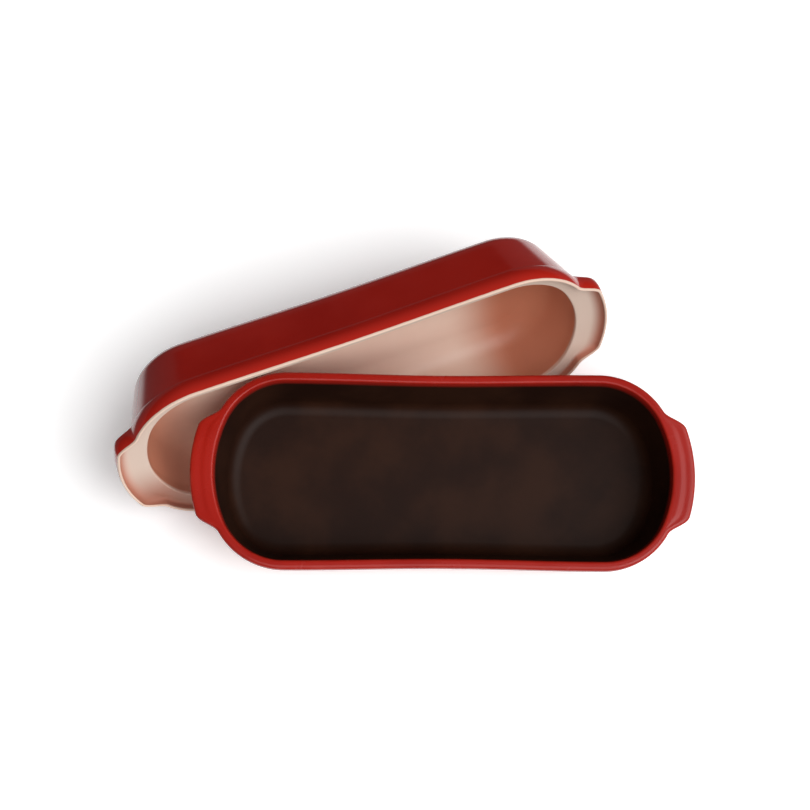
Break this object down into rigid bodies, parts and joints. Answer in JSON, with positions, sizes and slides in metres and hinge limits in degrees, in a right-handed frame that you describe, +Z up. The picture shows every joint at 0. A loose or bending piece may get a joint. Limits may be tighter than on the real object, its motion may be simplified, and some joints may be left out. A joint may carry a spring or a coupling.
{
  "type": "covered loaf baker",
  "caption": "Long oval covered loaf baker in red glazed stoneware, lid taken off and lying on its side, the open base leaning on the lid's edge; tab handles on the ends of both.",
  "frame": {"origin": "middle of the pair's footprint box, on the surface that both pieces lie on", "axes": "+X to the right along the base, +Y to the back where the lid lies, +Z up from the surface"},
  "size_m": [0.4396, 0.2492, 0.1555],
  "materials": {
    "base_glaze": "glossy red glaze outside and on the rim, dark brown inside",
    "lid_glaze": "glossy red glaze outside, cream glaze inside and on the lip"
  },
  "bodies": {
    "base": {"base": "base_glaze"},
    "lid": {"lid": "lid_glaze"}
  },
  "joints": [
    {"name": "lid_draw_back", "type": "slide", "parent": "base", "child": "lid", "axis": [-0.342, 0.9397, 0], "range_m": [0, 0.18]}
  ]
}
